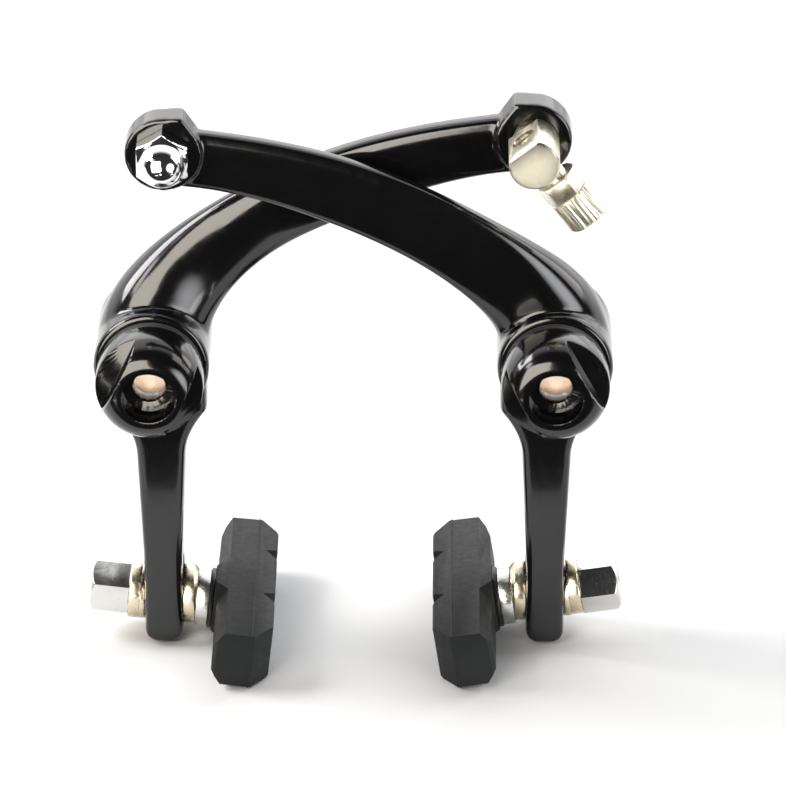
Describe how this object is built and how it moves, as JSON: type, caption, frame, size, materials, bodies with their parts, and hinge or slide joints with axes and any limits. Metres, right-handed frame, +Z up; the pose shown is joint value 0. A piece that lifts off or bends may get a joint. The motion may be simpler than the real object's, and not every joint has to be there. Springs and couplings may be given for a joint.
{
  "type": "u-brake",
  "caption": "Crossed curved arms on side pivots, with a brake pad below each pivot, a cable anchor on one arm's tip and a cable adjuster on the other's.",
  "frame": {"origin": "on the surface that the pads stand on, midway between the pivots, in the plane of the pad posts", "axes": "+X towards the cable adjuster, +Y along the frame studs towards the frame, +Z up from the pads to the cable bosses"},
  "size_m": [0.1087, 0.051, 0.1171],
  "materials": {
    "black_enamel": "gloss black enamel over forged aluminium",
    "bronze": "plain bronze",
    "spring_steel": "bare spring wire",
    "seal_rubber": "matt",
    "pad_rubber": "moulded dark grey rubber",
    "black_washer": "black",
    "yellow_zinc": "yellow passivated zinc",
    "clear_zinc": "clear zinc",
    "pale_zinc": "pale yellow zinc",
    "bright_plate": "bright plated"
  },
  "bodies": {
    "frame_side": {"left_pivot_bushing": "bronze", "right_pivot_bushing": "bronze", "left_return_spring": "spring_steel", "right_return_spring": "spring_steel"},
    "rear_arm": {"rear_arm": "black_enamel"},
    "front_arm": {"front_arm": "black_enamel"},
    "left_cap": {"left_tension_cap": "black_enamel", "left_dust_seal": "seal_rubber"},
    "right_cap": {"right_tension_cap": "black_enamel", "right_dust_seal": "seal_rubber"},
    "left_clamp": {"left_inner_dome_washer": "yellow_zinc", "left_outer_dome_washer": "yellow_zinc"},
    "left_cups": {"left_spacer_washer": "clear_zinc", "left_outer_cup_washer": "yellow_zinc"},
    "left_shoe": {"left_brake_pad": "pad_rubber", "left_pad_post": "clear_zinc", "left_pad_washer": "black_washer", "left_pad_nut": "clear_zinc"},
    "right_clamp": {"right_inner_dome_washer": "yellow_zinc", "right_outer_dome_washer": "yellow_zinc"},
    "right_cups": {"right_spacer_washer": "clear_zinc", "right_outer_cup_washer": "yellow_zinc"},
    "right_shoe": {"right_brake_pad": "pad_rubber", "right_pad_post": "clear_zinc", "right_pad_washer": "black_washer", "right_pad_nut": "clear_zinc"},
    "cable_anchor": {"cable_anchor_bolt": "clear_zinc", "clamp_washer": "clear_zinc", "acorn_nut": "bright_plate"},
    "cable_stop": {"cable_stop_carrier": "pale_zinc", "stem_washer": "clear_zinc", "stem_nut": "clear_zinc"},
    "barrel": {"adjuster_barrel": "pale_zinc", "lock_nut": "pale_zinc"}
  },
  "joints": [
    {"name": "front_arm_pivot", "type": "hinge", "parent": "frame_side", "child": "front_arm", "pos_m": [0.04, 0, 0.064], "axis": [0, 1, 0], "range_deg": [-6, 12], "stiffness_Nm_per_rad": 2, "deforming": ["right_return_spring"]},
    {"name": "rear_arm_pivot", "type": "hinge", "parent": "frame_side", "child": "rear_arm", "pos_m": [-0.04, 0, 0.064], "axis": [0, -1, 0], "range_deg": [-6, 12], "stiffness_Nm_per_rad": 2, "deforming": ["left_return_spring"]},
    {"name": "left_cap_turn", "type": "hinge", "parent": "frame_side", "child": "left_cap", "pos_m": [-0.04, 0, 0.064], "axis": [0, 1, 0], "range_deg": [-30, 30], "deforming": ["left_return_spring"]},
    {"name": "left_pad_height", "type": "slide", "parent": "rear_arm", "child": "left_clamp", "axis": [0, 0, 1], "range_m": [0, 0.004]},
    {"name": "left_pad_lean", "type": "hinge", "parent": "left_clamp", "child": "left_cups", "pos_m": [-0.0386, 0, 0.00818], "axis": [0, 1, 0], "range_deg": [-5, 1]},
    {"name": "left_pad_turn", "type": "hinge", "parent": "left_cups", "child": "left_shoe", "pos_m": [-0.0386, 0, 0.00818], "axis": [-0.9936, 0, 0.1132], "range_deg": [-12, 12]},
    {"name": "right_cap_turn", "type": "hinge", "parent": "frame_side", "child": "right_cap", "pos_m": [0.04, 0, 0.064], "axis": [0, 1, 0], "range_deg": [-30, 30], "deforming": ["right_return_spring"]},
    {"name": "right_pad_height", "type": "slide", "parent": "front_arm", "child": "right_clamp", "axis": [0, 0, 1], "range_m": [0, 0.004]},
    {"name": "right_pad_lean", "type": "hinge", "parent": "right_clamp", "child": "right_cups", "pos_m": [0.0386, 0, 0.00908], "axis": [0, -1, 0], "range_deg": [-5, 1]},
    {"name": "right_pad_turn", "type": "hinge", "parent": "right_cups", "child": "right_shoe", "pos_m": [0.0386, 0, 0.00908], "axis": [0.9877, 0, 0.1564], "range_deg": [-12, 12]},
    {"name": "cable_anchor_turn", "type": "hinge", "parent": "front_arm", "child": "cable_anchor", "pos_m": [-0.037, 0, 0.1094], "axis": [0, 1, 0], "range_deg": [-40, 40]},
    {"name": "cable_stop_swivel", "type": "hinge", "parent": "rear_arm", "child": "cable_stop", "pos_m": [0.0354, 0, 0.1094], "axis": [0, -1, 0], "range_deg": [-15, 60]},
    {"name": "barrel_adjust", "type": "slide", "parent": "cable_stop", "child": "barrel", "axis": [0.6157, 0, -0.788], "range_m": [-0.0015, 0.004]}
  ]
}
